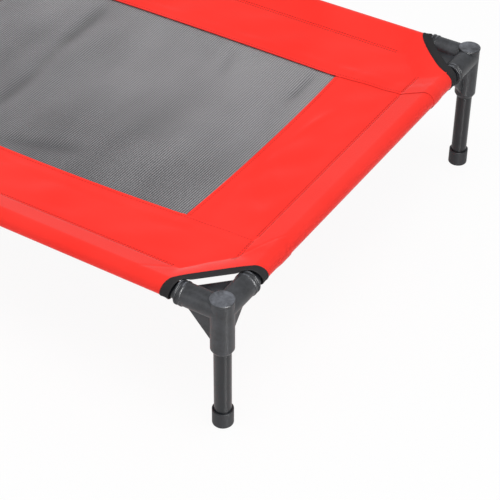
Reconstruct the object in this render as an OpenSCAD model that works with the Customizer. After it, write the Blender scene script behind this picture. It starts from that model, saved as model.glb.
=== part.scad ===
// Raised dog cot: a tube frame on four legs with a stretched cloth deck and a mesh window.
// Millimetres. The origin is on the floor under the middle of the cot, X runs along its length.

/* [Overall size] */
// Length over the corner posts
cot_length = 760; // [560:1:1200]
// Width over the corner posts
cot_width = 610; // [460:1:900]
// Height from the floor to the top of the corner posts
cot_height = 180; // [165:1:320]

/* [Tubes] */
// Outside diameter of the rails and legs
tube_d = 20; // [17:0.5:24]
// Wall of the steel tube
tube_wall = 1; // [0.8:0.1:2]

/* [Corner fittings] */
// Wall of the sockets round the tubes
socket_wall = 3.4; // [2.5:0.1:4.5]
// Reach of each rail socket from the crossing of the axes
arm_length = 53.5; // [50:0.5:62]
// Reach of the leg socket below the crossing of the axes
post_length = 57.5; // [50:0.5:66]
// How far the upright webs run down the post
web_drop = 49; // [40:0.5:50]
// Distance from the crossing of the axes to the floor of each socket
socket_floor = 16; // [15:0.5:20]
// How far the post stands above the arms
post_proud = 1; // [0:0.1:4]
// Height of the lid that closes the post
lid_height = 2.4; // [1:0.1:5]
// How far the lid's edge stands out past the post
lid_lip = 0.5; // [0.1:0.1:1.5]
// Rounding of the lid's upper edge
lid_round = 0.9; // [0.2:0.1:1]
// Thickness of the webs between the arms
web_thickness = 4; // [2:0.1:8]
// Height of the two beads round the mouth of each arm
bead_height = 0.9; // [0.3:0.1:1.2]
// Width of each bead
bead_width = 3; // [2:0.1:4]
// Width of the groove between the beads
groove_width = 2.4; // [1.4:0.1:3]
// Depth of the groove below the arm's surface
groove_depth = 0.7; // [0.2:0.1:1.2]
// Height of the chamfer at the foot of the post
post_chamfer = 4; // [1:0.1:8]
// Wall left round the leg at the foot of the post
neck_wall = 1.2; // [0.9:0.1:2.4]

/* [Feet] */
// Outside diameter of a foot cap
foot_d = 24.6; // [22:0.1:34]
// Height of a foot cap
foot_height = 21; // [12:0.5:40]
// Thickness of the cap under the leg
foot_floor = 3; // [2:0.1:6]
// Rounding of the cap's lower edge
foot_round = 1.6; // [0.4:0.1:2.4]

/* [Cloth deck] */
// Thickness of the border cloth
cloth_thickness = 0.8; // [0.5:0.05:1.2]
// Thickness of the mesh cloth
mesh_thickness = 0.8; // [0.5:0.05:1.2]
// Slack between a rail and the pocket round it
pocket_slack = 0.4; // [0.2:0.05:1]
// Distance from a rail's axis to the row of stitches that closes its pocket
pocket_depth = 35; // [28:0.5:42]
// How far that row of stitches hangs below the rail's axis
pocket_drop = 3.5; // [0:0.1:6]
// Distance from a long rail's axis to the mesh window
side_border = 121; // [95:1:150]
// Distance from a short rail's axis to the mesh window
end_border = 127; // [95:1:150]
// Sag of the deck's middle below the rows of stitches
deck_sag = 12; // [2:0.5:25]
// How far the mesh runs under the border
mesh_lap = 9; // [4:0.5:15]

/* [Corner cut-outs] */
// Bare length of rail between the mouth of an arm and the cloth
bare_rail = 1.5; // [1.5:0.5:4]
// How far the cut bows into the cloth past a straight line between its ends, along each rail
cut_depth = 3; // [2:0.5:6]
// Sum of the distances from both rails' axes at which the cloth leaves the deck to climb over the corner
crease_reach = 110; // [102:1:118]
// The same sum where the cloth has reached the level of the rails' tops
shoulder_reach = 66; // [62:1:72]
// Width of the tape that binds the cut
tape_width = 11; // [8:0.5:14]
// Thickness of the tape
tape_thickness = 0.6; // [0.4:0.05:1]
// How far the folded tape stands past the edge of the cloth
tape_fold = 1.2; // [0.6:0.1:1.6]

/* [Hidden] */
$fn = 96;
corners = [["front_left", -1, -1], ["front_right", 1, -1], ["back_left", -1, 1], ["back_right", 1, 1]];
corner_kinds = ["corner_fitting_", "leg_tube_", "foot_cap_", "corner_binding_"];

plastic_colour = [0.25, 0.26, 0.27];
steel_colour = [0.15, 0.15, 0.16];
rubber_colour = [0.2, 0.2, 0.21];
cloth_colour = [0.93, 0.18, 0.15];
mesh_colour = [0.45, 0.45, 0.46];
tape_colour = [0.13, 0.13, 0.14];

// Fits: a tube in its socket or cap, and cloth laid against cloth
socket_gap = 0.1;
cap_gap = 0.05;
cloth_gap = 0.1;
// Length past a face that a cut runs
over = 1;
mouth_chamfer = 0.8;
bead_chamfer = 0.6;

tube_r = tube_d / 2;
bore_r = tube_r + socket_gap;
arm_r = bore_r + socket_wall;
post_top = arm_r + post_proud;
rail_x = cot_length / 2 - arm_r;
rail_y = cot_width / 2 - arm_r;
rail_z = cot_height - post_top;
// The beads end at the mouth, and the webs end where the first bead starts
bead_start = arm_length - 2 * bead_width - groove_width;

// Pocket section: a loop round the rail that draws in to the row of stitches
pocket_in_r = tube_r + pocket_slack;
pocket_out_r = pocket_in_r + cloth_thickness;
stitch_x = rail_x - pocket_depth;
stitch_y = rail_y - pocket_depth;
stitch_z = rail_z - pocket_drop;
window_x = rail_x - end_border;
window_y = rail_y - side_border;
// The sheet runs this far into the wedge of cloth at the closed side of a pocket
tuck = cloth_thickness;
// Largest cell of the sagging sheets
deck_cell = 26;

// The cut-out is an arc round a point outside the post, on the corner's diagonal
cut_reach = arm_length + bare_rail;
cut_inset = cut_reach / 2 + cut_depth;
cut_centre = (2 * cut_inset ^ 2 - cut_reach ^ 2) / (4 * cut_depth);
cut_r = sqrt(2) * (cut_inset - cut_centre);
// Where the uncut pockets and the corner's cloth end, inside the cut-out
uncut_reach = 20;
// Level of the cloth over the corner, above the rails' axes
corner_top = (pocket_in_r + pocket_out_r) / 2;
// Under the corner's cloth the pockets are open from the round side to this far before the stitches
open_from = 0.65 * tube_r;
open_stub = 4;
open_floor = -2.2;
// Chords of the round side of a pocket
pocket_chords = 28;

// Height of the deck's mid-surface over the floor
function deck_z(x, y) =
    stitch_z - deck_sag * max(0, 1 - (x / stitch_x) ^ 2) * max(0, 1 - (y / stitch_y) ^ 2);

// Evenly spaced values from a to b, no further apart than the deck's cell
function steps(a, b) =
    let (n = ceil(abs(b - a) / deck_cell)) [for (i = [0:n]) a + (b - a) * i / n];

// Pocket outline grown out to radius r: the row of stitches, then the loop round the rail at the origin
function pocket_loop(r) =
    let (
        tip = [pocket_depth, -pocket_drop] * r / pocket_out_r,
        touch = acos(r / norm(tip)),
        start = atan2(tip[1], tip[0]) + touch,
        step = (360 - 2 * touch) / pocket_chords
    )
    concat([tip], [for (i = [0:pocket_chords]) r * [cos(start + i * step), sin(start + i * step)]]);

// Places its children, drawn with the arms along +X and +Y, at one corner of the frame
module at_corner(side_x, side_y) {
    translate([side_x * rail_x, side_y * rail_y, rail_z])
        mirror([side_x > 0 ? 1 : 0, 0, 0])
            mirror([0, side_y > 0 ? 1 : 0, 0])
                children();
}

module tube(length) {
    difference() {
        cylinder(r = tube_r, h = length);
        translate([0, 0, -over]) cylinder(r = tube_r - tube_wall, h = length + 2 * over);
    }
}

// Outside of a socket arm along +Z from the crossing of the axes, with two beads at its mouth
module arm_solid() {
    bead_r = arm_r + bead_height;
    groove_r = arm_r - groove_depth;
    first_end = bead_start + bead_width;
    second_start = first_end + groove_width;
    rotate_extrude()
        polygon([
            [0, 0], [arm_r, 0], [arm_r, bead_start],
            [bead_r, bead_start + bead_chamfer], [bead_r, first_end - bead_chamfer],
            [groove_r, first_end], [groove_r, second_start],
            [bead_r, second_start + bead_chamfer], [bead_r, arm_length - bead_chamfer],
            [bead_r - bead_chamfer, arm_length], [0, arm_length]
        ]);
}

// Post from its chamfered foot up to the lid that closes it
module post_solid() {
    lid_r = arm_r + lid_lip;
    side = post_length - post_chamfer + post_top - lid_height;
    translate([0, 0, -post_length]) cylinder(r1 = bore_r + neck_wall, r2 = arm_r, h = post_chamfer);
    translate([0, 0, post_chamfer - post_length]) cylinder(r = arm_r, h = side);
    translate([0, 0, post_top - lid_height])
        rotate_extrude() {
            square([lid_r, lid_height - lid_round]);
            square([lid_r - lid_round, lid_height]);
            translate([lid_r - lid_round, lid_height - lid_round])
                intersection() {
                    circle(r = lid_round);
                    square(lid_round + over);
                }
        }
}

// Blind socket along +Z for a tube's end, with a lead-in at its mouth
module socket_cut(reach) {
    translate([0, 0, socket_floor]) cylinder(r = bore_r, h = reach - socket_floor + over);
    translate([0, 0, reach - mouth_chamfer])
        cylinder(r1 = bore_r, r2 = bore_r + mouth_chamfer + over, h = mouth_chamfer + over);
}

// Web in the XY plane between an arm along X and another along Y, with a straight edge between them
module web(reach_x, reach_y) {
    linear_extrude(web_thickness, center = true)
        polygon([[0, 0], [reach_x, 0], [reach_x, arm_r], [arm_r, reach_y], [0, reach_y]]);
}

// Three-way corner: two rail sockets along +X and +Y, the leg socket down, and a web between each two
module corner_fitting() {
    color(plastic_colour)
        difference() {
            union() {
                rotate([0, 90, 0]) arm_solid();
                rotate([-90, 0, 0]) arm_solid();
                post_solid();
                web(bead_start, bead_start);
                rotate([-90, 0, 0]) web(bead_start, web_drop);
                rotate([0, 90, 0]) web(web_drop, bead_start);
            }
            rotate([0, 90, 0]) socket_cut(arm_length);
            rotate([-90, 0, 0]) socket_cut(arm_length);
            rotate([180, 0, 0]) socket_cut(post_length);
        }
}

module leg_tube() {
    color(steel_colour)
        translate([0, 0, foot_floor - rail_z]) tube(rail_z - socket_floor - foot_floor);
}

// Push-on cap that closes the leg's lower end
module foot_cap() {
    foot_r = foot_d / 2;
    color(rubber_colour)
        translate([0, 0, -rail_z])
            difference() {
                rotate_extrude() {
                    translate([0, foot_round]) square([foot_r, foot_height - foot_round]);
                    square([foot_r - foot_round, foot_height]);
                    translate([foot_r - foot_round, foot_round]) circle(r = foot_round);
                }
                translate([0, 0, foot_floor]) cylinder(r = tube_r + cap_gap, h = foot_height);
            }
}

module long_rail() {
    length = 2 * (rail_x - socket_floor);
    color(steel_colour)
        translate([-length / 2, -rail_y, rail_z]) rotate([0, 90, 0]) tube(length);
}

module short_rail() {
    length = 2 * (rail_y - socket_floor);
    color(steel_colour)
        translate([-rail_x, length / 2, rail_z]) rotate([90, 0, 0]) tube(length);
}

// Cloth wall of a pocket along +Z, grown outwards
module pocket_wall(length, grow = 0) {
    linear_extrude(length)
        difference() {
            polygon(pocket_loop(pocket_out_r + grow));
            polygon(pocket_loop(pocket_in_r));
        }
}

// Turns a pocket drawn along +Z to run along +X, with its stitches towards +Y
module along_x(from, y) {
    translate([from, y, rail_z]) rotate([90, 0, 90]) children();
}

// Turns a pocket drawn along +Z to run from y towards -Y, with its stitches towards +X
module along_y(x, y) {
    translate([x, y, rail_z]) rotate([90, 0, 0]) children();
}

// Sheet of cloth through the points of a grid, row by row
module cloth_sheet(grid, columns, thickness) {
    count = len(grid);
    rows = count / columns;
    lift = [0, 0, thickness / 2];
    points = concat([for (p = grid) p + lift], [for (p = grid) p - lift]);
    cells = [for (j = [0:rows - 2]) for (i = [0:columns - 2]) j * columns + i];
    faces = concat(
        [for (c = cells) each [[c, c + columns, c + 1], [c + 1, c + columns, c + columns + 1]]],
        [for (c = cells) let (b = c + count) [b, b + 1, b + columns]],
        [for (c = cells) let (b = c + count) [b + 1, b + columns + 1, b + columns]],
        [for (i = [0:columns - 2]) let (a = i) each rim(a, a + 1, count)],
        [for (i = [0:columns - 2]) let (a = count - 1 - i) each rim(a, a - 1, count)],
        [for (j = [0:rows - 2]) let (a = (j + 1) * columns - 1) each rim(a, a + columns, count)],
        [for (j = [0:rows - 2]) let (a = (rows - 1 - j) * columns) each rim(a, a - columns, count)]
    );
    polyhedron(points, faces);
}

// Sagging sheet of cloth over a grid of x and y values, a drop below the deck's mid-surface
module sagging_sheet(xs, ys, thickness, drop) {
    cloth_sheet([for (y = ys) for (x = xs) [x, y, deck_z(x, y) - drop]], len(xs), thickness);
}

// The two triangles that close a sheet's edge between upper points a and b
function rim(a, b, count) = [[a, b, b + count], [a, b + count, a + count]];

// Upright cylinder round the centre of the front left cut-out
module cut_disc(r) {
    translate([-rail_x + cut_centre, -rail_y + cut_centre, -over]) cylinder(r = r, h = cot_height + 2 * over);
}

// Places its children, drawn round the crossing of the rails' axes, at the front left corner
module at_front_left() {
    translate([-rail_x, -rail_y, rail_z]) children();
}

// Its children, and the same turned over the diagonal of the front left corner
module both_rails() {
    children();
    mirror([1, -1, 0]) children();
}

// Two points of the front left corner's cloth, mirrored over the diagonal
function corner_row(reach, inset, z) = [[reach - inset, inset, z], [inset, reach - inset, z]];

// Cloth that climbs from the crease in the deck to the rails' tops and crosses the corner between them
module corner_flap(thickness) {
    at_front_left()
        cloth_sheet(
            concat(
                corner_row(crease_reach, pocket_depth, -pocket_drop),
                corner_row(shoulder_reach, 0, corner_top),
                corner_row(uncut_reach, 0, corner_top)
            ), 2, thickness);
}

// Upper layers of the two pockets under the corner's cloth, which takes their place
module corner_opening() {
    to = pocket_depth - open_stub;
    crease = crease_reach - pocket_depth - open_stub;
    at_front_left()
        both_rails()
            translate([0, 0, open_floor])
                linear_extrude(2 * arm_r)
                    polygon([
                        [uncut_reach - over, open_from], [shoulder_reach - tuck, open_from],
                        [crease, to], [uncut_reach - over, to]
                    ]);
}

// Corner of the deck under the same cloth
module deck_opening() {
    inner = pocket_depth + 2 * tuck;
    crease = crease_reach - pocket_depth - open_stub;
    at_front_left()
        linear_extrude(4 * pocket_drop, center = true)
            polygon([[pocket_depth - 2 * over, pocket_depth - 2 * over], [crease, inner], [inner, crease]]);
}

// Room for the arms of the fitting, and for the pockets' lower layers to end square beside them
module corner_clear() {
    square_end = arm_length + bare_rail + over;
    deep = pocket_depth + 3 * over;
    at_front_left()
        both_rails() {
            rotate([0, 90, 0]) cylinder(r = arm_r + bead_height + cloth_gap, h = arm_length + 3 * cloth_gap);
            translate([0, -2 * arm_r, -2 * arm_r]) cube([square_end, deep + 2 * arm_r, 2 * arm_r]);
        }
}

// Long strip of the border: the front rail's pocket, a flat, two ends round the short rails, and the corners
module long_border() {
    half = rail_x - uncut_reach;
    end_length = rail_y - uncut_reach - window_y;
    color(cloth_colour)
        difference() {
            union() {
                difference() {
                    union() {
                        along_x(-half, -rail_y) pocket_wall(2 * half);
                        for (side = [0, 1])
                            mirror([side, 0, 0])
                                along_y(-rail_x, -window_y) pocket_wall(end_length);
                    }
                    for (side = [0, 1]) mirror([side, 0, 0]) corner_opening();
                }
                difference() {
                    sagging_sheet(steps(-stitch_x - tuck, stitch_x + tuck),
                        steps(-stitch_y - tuck, -window_y), cloth_thickness, 0);
                    for (side = [0, 1]) mirror([side, 0, 0]) deck_opening();
                }
                for (side = [0, 1]) mirror([side, 0, 0]) corner_flap(cloth_thickness);
            }
            for (side = [0, 1])
                mirror([side, 0, 0]) {
                    cut_disc(cut_r);
                    corner_clear();
                }
        }
}

// Short strip of the border between the two long ones: the left rail's pocket and a flat
module short_border() {
    half = window_y - cloth_gap;
    color(cloth_colour) {
        along_y(-rail_x, half) pocket_wall(2 * half);
        sagging_sheet(steps(-stitch_x - tuck, -window_x), steps(-half, half), cloth_thickness, 0);
    }
}

// Mesh window, lapped under the border all round
module mesh_panel() {
    half_x = window_x + mesh_lap;
    half_y = window_y + mesh_lap;
    drop = (cloth_thickness + mesh_thickness) / 2 + cloth_gap;
    color(mesh_colour)
        sagging_sheet(steps(-half_x, half_x), steps(-half_y, half_y), mesh_thickness, drop);
}

// Cloth of the front left corner round the cut, grown on the sides that the tape lies on
module corner_skin(grow) {
    length = cut_reach + 2 * tape_width - uncut_reach;
    difference() {
        union() {
            along_x(-rail_x + uncut_reach, -rail_y) pocket_wall(length, grow);
            along_y(-rail_x, -rail_y + uncut_reach + length) pocket_wall(length, grow);
        }
        corner_opening();
    }
    corner_flap(cloth_thickness + 2 * grow);
}

// Tape folded over the edge of the front left cut-out
module corner_binding() {
    color(tape_colour)
        difference() {
            intersection() {
                corner_skin(cloth_gap + tape_thickness);
                cut_disc(cut_r + tape_width);
            }
            difference() {
                corner_skin(cloth_gap);
                cut_disc(cut_r - cloth_gap);
            }
            cut_disc(cut_r - tape_fold);
            corner_clear();
        }
}

for (c = corners) {
    name = c[0];
    at_corner(c[1], c[2]) corner_fitting();
    at_corner(c[1], c[2]) leg_tube();
    at_corner(c[1], c[2]) foot_cap();
    mirror([c[1] > 0 ? 1 : 0, 0, 0]) mirror([0, c[2] > 0 ? 1 : 0, 0]) corner_binding();
}
long_rail();  // long_rail_front
mirror([0, 1, 0]) long_rail();  // long_rail_back
short_rail();  // short_rail_left
mirror([1, 0, 0]) short_rail();  // short_rail_right
long_border();  // long_border_front
mirror([0, 1, 0]) long_border();  // long_border_back
short_border();  // short_border_left
mirror([1, 0, 0]) short_border();  // short_border_right
mesh_panel();
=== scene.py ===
"""Looks of the raised dog cot: cloth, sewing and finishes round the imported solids, in metres with Z up.

The front of the cot faces -Y and its right side +X. The floor is z = 0.
"""

import logging
import math
from dataclasses import dataclass, field
from enum import Enum
from typing import Iterable, Mapping, Sequence

import bpy
import numpy as np
from mathutils import Matrix, Vector


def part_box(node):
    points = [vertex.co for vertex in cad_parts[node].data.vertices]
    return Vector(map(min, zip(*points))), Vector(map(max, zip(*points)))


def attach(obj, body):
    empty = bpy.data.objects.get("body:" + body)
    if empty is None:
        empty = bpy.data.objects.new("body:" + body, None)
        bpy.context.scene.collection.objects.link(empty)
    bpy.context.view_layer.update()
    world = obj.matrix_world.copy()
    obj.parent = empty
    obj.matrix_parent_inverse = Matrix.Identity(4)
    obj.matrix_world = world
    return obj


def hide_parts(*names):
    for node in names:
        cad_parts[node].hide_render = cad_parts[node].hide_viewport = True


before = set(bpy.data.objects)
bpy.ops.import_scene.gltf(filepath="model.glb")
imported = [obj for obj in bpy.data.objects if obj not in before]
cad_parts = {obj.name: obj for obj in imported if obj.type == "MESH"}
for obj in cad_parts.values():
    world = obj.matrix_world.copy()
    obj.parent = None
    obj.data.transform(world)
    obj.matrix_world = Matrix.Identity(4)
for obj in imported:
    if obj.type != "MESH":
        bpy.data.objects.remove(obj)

LOG = logging.getLogger("dog_cot")
MM = 0.001
TINY = 1e-12
Span = tuple[float, float]
Triple = tuple[float, float, float]
Colour = Triple
Array = np.ndarray
Material = bpy.types.Material
Node = bpy.types.Node
Object = bpy.types.Object
Socket = bpy.types.NodeSocket
Tree = bpy.types.NodeTree
Outputs = Mapping[str, Socket]
Inputs = Mapping[str | int, object]


class Place(Enum):
    """A place on the cot."""

    @property
    def word(self) -> str:
        """Name of the place as the solids' names spell it."""
        return self.name.lower()


class Corner(Place):
    """The four corners of the cot, each with its signs along x and y."""

    FRONT_LEFT = (-1, -1)
    FRONT_RIGHT = (1, -1)
    BACK_LEFT = (-1, 1)
    BACK_RIGHT = (1, 1)


class Side(Place):
    """The four sides of the cot: which of the coordinates s and t leads to the side, and its sign."""

    FRONT = (1, -1)
    BACK = (1, 1)
    LEFT = (0, -1)
    RIGHT = (0, 1)

    @property
    def is_long(self) -> bool:
        """True for the two sides that run along x."""
        return self.value[0] == 1

    def solid(self, kind: str) -> str:
        """Name of the side's border or rail."""
        return f"{'long' if self.is_long else 'short'}_{kind}_{self.word}"


@dataclass
class Graph:
    """Adds nodes and links to one node tree."""

    tree: Tree

    def add(self, kind: str, inputs: Inputs | None = None, **settings: object) -> Node:
        """Adds one node.

        Args:
            kind: The node's type name.
            inputs: What goes into its inputs.
            settings: Properties to set on it first.

        Returns:
            The new node.
        """
        node = self.tree.nodes.new(kind)
        for name, value in settings.items():
            setattr(node, name, value)
        self.fill(node, inputs or {})
        return node

    def fill(self, node: Node, inputs: Inputs) -> None:
        """Links sockets into a node's inputs, or sets the inputs' own values.

        Args:
            node: The node to fill.
            inputs: Output sockets or plain values, by the inputs' names or places.
        """
        for key, value in inputs.items():
            if isinstance(value, Socket):
                self.tree.links.new(value, node.inputs[key])
            else:
                node.inputs[key].default_value = value

    def math(self, operation: str, *values: object) -> Socket:
        """Result of a Math node on sockets or numbers."""
        return self.add("ShaderNodeMath", dict(enumerate(values)), operation=operation).outputs[0]

    def mix_colour(self, factor: Socket, first: Colour, second: Colour, clamp: bool = True) -> Socket:
        """Mixes two linear colours; without clamp the mix runs on past them."""
        ends = {"Factor": factor, 6: (*first, 1.0), 7: (*second, 1.0)}
        return self.add("ShaderNodeMix", ends, data_type="RGBA", clamp_factor=clamp).outputs[2]

    def split(self, vector: Socket) -> Outputs:
        """The three parts of a vector."""
        return self.add("ShaderNodeSeparateXYZ", {0: vector}).outputs

    def spread(self, value: Socket, low: float, high: float) -> Socket:
        """Maps a value from 0..1 onto another range."""
        return self.add("ShaderNodeMapRange", {"Value": value, "To Min": low, "To Max": high}).outputs["Result"]

    def bands(self, place: Socket, repeats: Triple) -> Socket:
        """Soft noise that is drawn out into bands, with its own repeats per metre along each axis."""
        drawn = self.add("ShaderNodeVectorMath", {0: place, 1: repeats}, operation="MULTIPLY").outputs[0]
        return self.add("ShaderNodeTexNoise", {"Vector": drawn, "Scale": 1.0, "Detail": 1.0}).outputs["Fac"]

    def dressed(self, geometry: Socket, material: Socket) -> Socket:
        """Ends a geometry tree.

        Args:
            geometry: What the tree has made.
            material: The material that it wears.

        Returns:
            Real, smooth geometry with its material.
        """
        for kind in ("GeometryNodeSetShadeSmooth", "GeometryNodeRealizeInstances"):
            geometry = self.add(kind, {"Geometry": geometry}).outputs["Geometry"]
        return self.add("GeometryNodeSetMaterial", {"Geometry": geometry, "Material": material}).outputs["Geometry"]


def new_group(name: str, kind: str, inputs: dict[str, str], outputs: dict[str, str]) -> tuple[Graph, Outputs]:
    """Starts a node group with named inputs and outputs.

    Args:
        name: Name of the group.
        kind: Type of its tree.
        inputs: The kind of each input, by name.
        outputs: The kind of each output, by name.

    Returns:
        The group's graph, and the sockets that bring in its inputs.
    """
    tree = bpy.data.node_groups.new(name, kind)
    for way, sockets in (("INPUT", inputs), ("OUTPUT", outputs)):
        for label, socket in sockets.items():
            tree.interface.new_socket(label, in_out=way, socket_type="NodeSocket" + socket)
    graph = Graph(tree)
    return graph, graph.add("NodeGroupInput").outputs


def weave_group() -> Tree:
    """Plain weave of warp and weft threads over a UV map in metres.

    Returns:
        Shader group with the outputs Height, Gap and Rib, all from 0 to 1.
    """
    graph, given = new_group(
        "plain_weave",
        "ShaderNodeTree",
        {"Vector": "Vector", "Warp Pitch": "Float", "Weft Pitch": "Float"},
        {"Height": "Float", "Gap": "Float", "Rib": "Float"},
    )
    spot = graph.split(given["Vector"])
    warp, weft = (
        graph.math("SINE", graph.math("DIVIDE", graph.math("MULTIPLY", spot[axis], math.pi), given[pitch]))
        for axis, pitch in enumerate(("Warp Pitch", "Weft Pitch"))
    )
    height = graph.math("MULTIPLY_ADD", graph.math("MULTIPLY", warp, weft), 0.5, 0.5)
    rib = graph.math("ABSOLUTE", warp)
    edge = graph.math("MINIMUM", rib, graph.math("ABSOLUTE", weft))
    graph.add("NodeGroupOutput", {"Height": height, "Gap": graph.math("SUBTRACT", 1.0, edge), "Rib": rib})
    return graph.tree


def grain_group() -> Tree:
    """Fine grain over a broad drift in tone, in the object's own space.

    Returns:
        Shader group with the outputs Height and Tone, both from 0 to 1.
    """
    graph, given = new_group(
        "surface_grain",
        "ShaderNodeTree",
        {"Vector": "Vector", "Grain Scale": "Float", "Drift Scale": "Float"},
        {"Height": "Float", "Tone": "Float"},
    )
    result = graph.add("NodeGroupOutput")
    for output, scale, detail in (("Height", "Grain Scale", 3.0), ("Tone", "Drift Scale", 2.0)):
        inputs = {"Vector": given["Vector"], "Scale": given[scale], "Detail": detail}
        graph.fill(result, {output: graph.add("ShaderNodeTexNoise", inputs).outputs["Fac"]})
    return graph.tree


WEAVE = weave_group()
GRAIN = grain_group()


class Surface:
    """One material under way: its graph, its shader and its coordinates."""

    def __init__(self, name: str) -> None:
        """Makes the material with a Principled shader and its coordinates.

        Args:
            name: Name of the material.
        """
        self.material = bpy.data.materials.new(name)
        self.material.use_nodes = True
        self.graph = Graph(self.material.node_tree)
        self.shader = self.material.node_tree.nodes["Principled BSDF"]
        self.where = self.graph.add("ShaderNodeTexCoord").outputs

    def dress(self, **inputs: object) -> Material:
        """Fills the shader's inputs, with _ for a space in their names, and gives the material."""
        self.graph.fill(self.shader, {name.replace("_", " "): value for name, value in inputs.items()})
        return self.material

    def weave(self, warp: float, weft: float) -> Outputs:
        """Weave on the piece's UV map, with the pitches of its threads."""
        inputs = {"Vector": self.where["UV"], "Warp Pitch": warp, "Weft Pitch": weft}
        return self.graph.add("ShaderNodeGroup", inputs, node_tree=WEAVE).outputs

    def grain(self, fine: float, drift: float) -> Outputs:
        """Grain on the piece's object coordinates, with its two scales in repeats per metre."""
        inputs = {"Vector": self.where["Object"], "Grain Scale": fine, "Drift Scale": drift}
        return self.graph.add("ShaderNodeGroup", inputs, node_tree=GRAIN).outputs

    def bump(self, height: Socket, strength: float, distance: float, below: Socket | None = None) -> Socket:
        """Turns a height into a normal.

        Args:
            height: Height from 0 to 1.
            strength: Share of the bump that shows.
            distance: Real height of the bump.
            below: Normal of a bump that this one lies on.

        Returns:
            The bumped normal.
        """
        inputs = {"Height": height, "Strength": strength, "Distance": distance}
        if below is not None:
            inputs["Normal"] = below
        return self.graph.add("ShaderNodeBump", inputs).outputs["Normal"]


@dataclass(frozen=True)
class WovenCloth:
    """Coated plain-weave cloth, or thread."""

    name: str
    light: Colour
    dark: Colour
    pitch: float
    weave_depth: float
    roughness: Span = (0.62, 0.74)
    sheen: float = 0.0
    specular: float = 0.12
    grain_scale: float = 420.0
    drift_scale: float = 9.0
    weave_share: float = 0.25
    grain_depth: float = 0.15 * MM

    def material(self) -> Material:
        """Builds the material.

        Returns:
            The material.
        """
        surface = Surface(self.name)
        graph, grain = surface.graph, surface.grain(self.grain_scale, self.drift_scale)
        weave = surface.weave(self.pitch, self.pitch)["Height"]
        drift = graph.spread(grain["Tone"], 0.0, 1.0 - self.weave_share)
        tone = graph.math("MULTIPLY_ADD", weave, self.weave_share, drift)
        under = surface.bump(grain["Height"], strength=0.25, distance=self.grain_depth)
        return surface.dress(
            Base_Color=graph.mix_colour(tone, self.dark, self.light),
            Roughness=graph.spread(grain["Height"], *self.roughness),
            Normal=surface.bump(weave, strength=0.5, distance=self.weave_depth, below=under),
            Sheen_Weight=self.sheen,
            Sheen_Roughness=0.3,
            Specular_IOR_Level=self.specular,
        )


@dataclass(frozen=True)
class RibbedMesh:
    """Coarse ribbed screen cloth: thick ribs with thin cross threads between them.

    The shares say how much of the gap's colour shows: between the ribs, round the cross threads, in the bands, in
    the valleys, where it is painted shade, and in the grain. It also changes by fall_x and fall_y per
    metre across the deck, painted shade that makes the mesh darker towards the front and left.
    """

    name: str
    rib: Colour
    gap: Colour
    rib_pitch: float
    cross_pitch: float
    grain_scale: float = 600.0
    drift_scale: float = 14.0
    rib_share: float = 0.85
    cross_share: float = 0.25
    band_share: float = 0.5
    valley_share: float = 0.3
    grain_share: float = 0.2
    base_share: float = -0.26
    fall_x: float = -0.35
    fall_y: float = -1.4
    bands: Triple = (16.0, 5.0, 1.0)
    roughness: Span = (0.5, 0.66)
    thread_depth: float = 0.3 * MM

    def material(self) -> Material:
        """Builds the material.

        Returns:
            The material.
        """
        surface = Surface(self.name)
        graph, place = surface.graph, surface.where["Object"]
        grain = surface.grain(self.grain_scale, self.drift_scale)
        weave = surface.weave(self.rib_pitch, self.cross_pitch)
        depth = graph.math("POWER", weave["Gap"], 2.0)
        between = graph.math("MULTIPLY", graph.math("SUBTRACT", 1.0, weave["Rib"]), self.rib_share)
        crossing = graph.math("MULTIPLY_ADD", depth, self.cross_share, between)
        # Painted shade: the mesh gets darker towards the front and left of the deck.
        spot = graph.split(place)
        across = graph.math("MULTIPLY_ADD", spot["X"], self.fall_x, graph.math("MULTIPLY", spot["Y"], self.fall_y))
        drift = graph.math("ADD", across, self.base_share)
        drift = graph.math("MULTIPLY_ADD", graph.bands(place, self.bands), self.band_share, drift)
        # Painted shade: the deeper the fold's valley, the darker the mesh there.
        valley = graph.add("ShaderNodeAttribute", attribute_name="valley").outputs["Fac"]
        drift = graph.math("MULTIPLY_ADD", valley, self.valley_share, drift)
        tone = graph.math("ADD", graph.math("MULTIPLY_ADD", grain["Tone"], self.grain_share, crossing), drift)
        return surface.dress(
            Base_Color=graph.mix_colour(tone, self.rib, self.gap),
            Roughness=graph.spread(grain["Height"], *self.roughness),
            Normal=surface.bump(graph.math("SUBTRACT", 1.0, depth), strength=0.6, distance=self.thread_depth),
            Specular_IOR_Level=0.3,
        )


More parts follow.
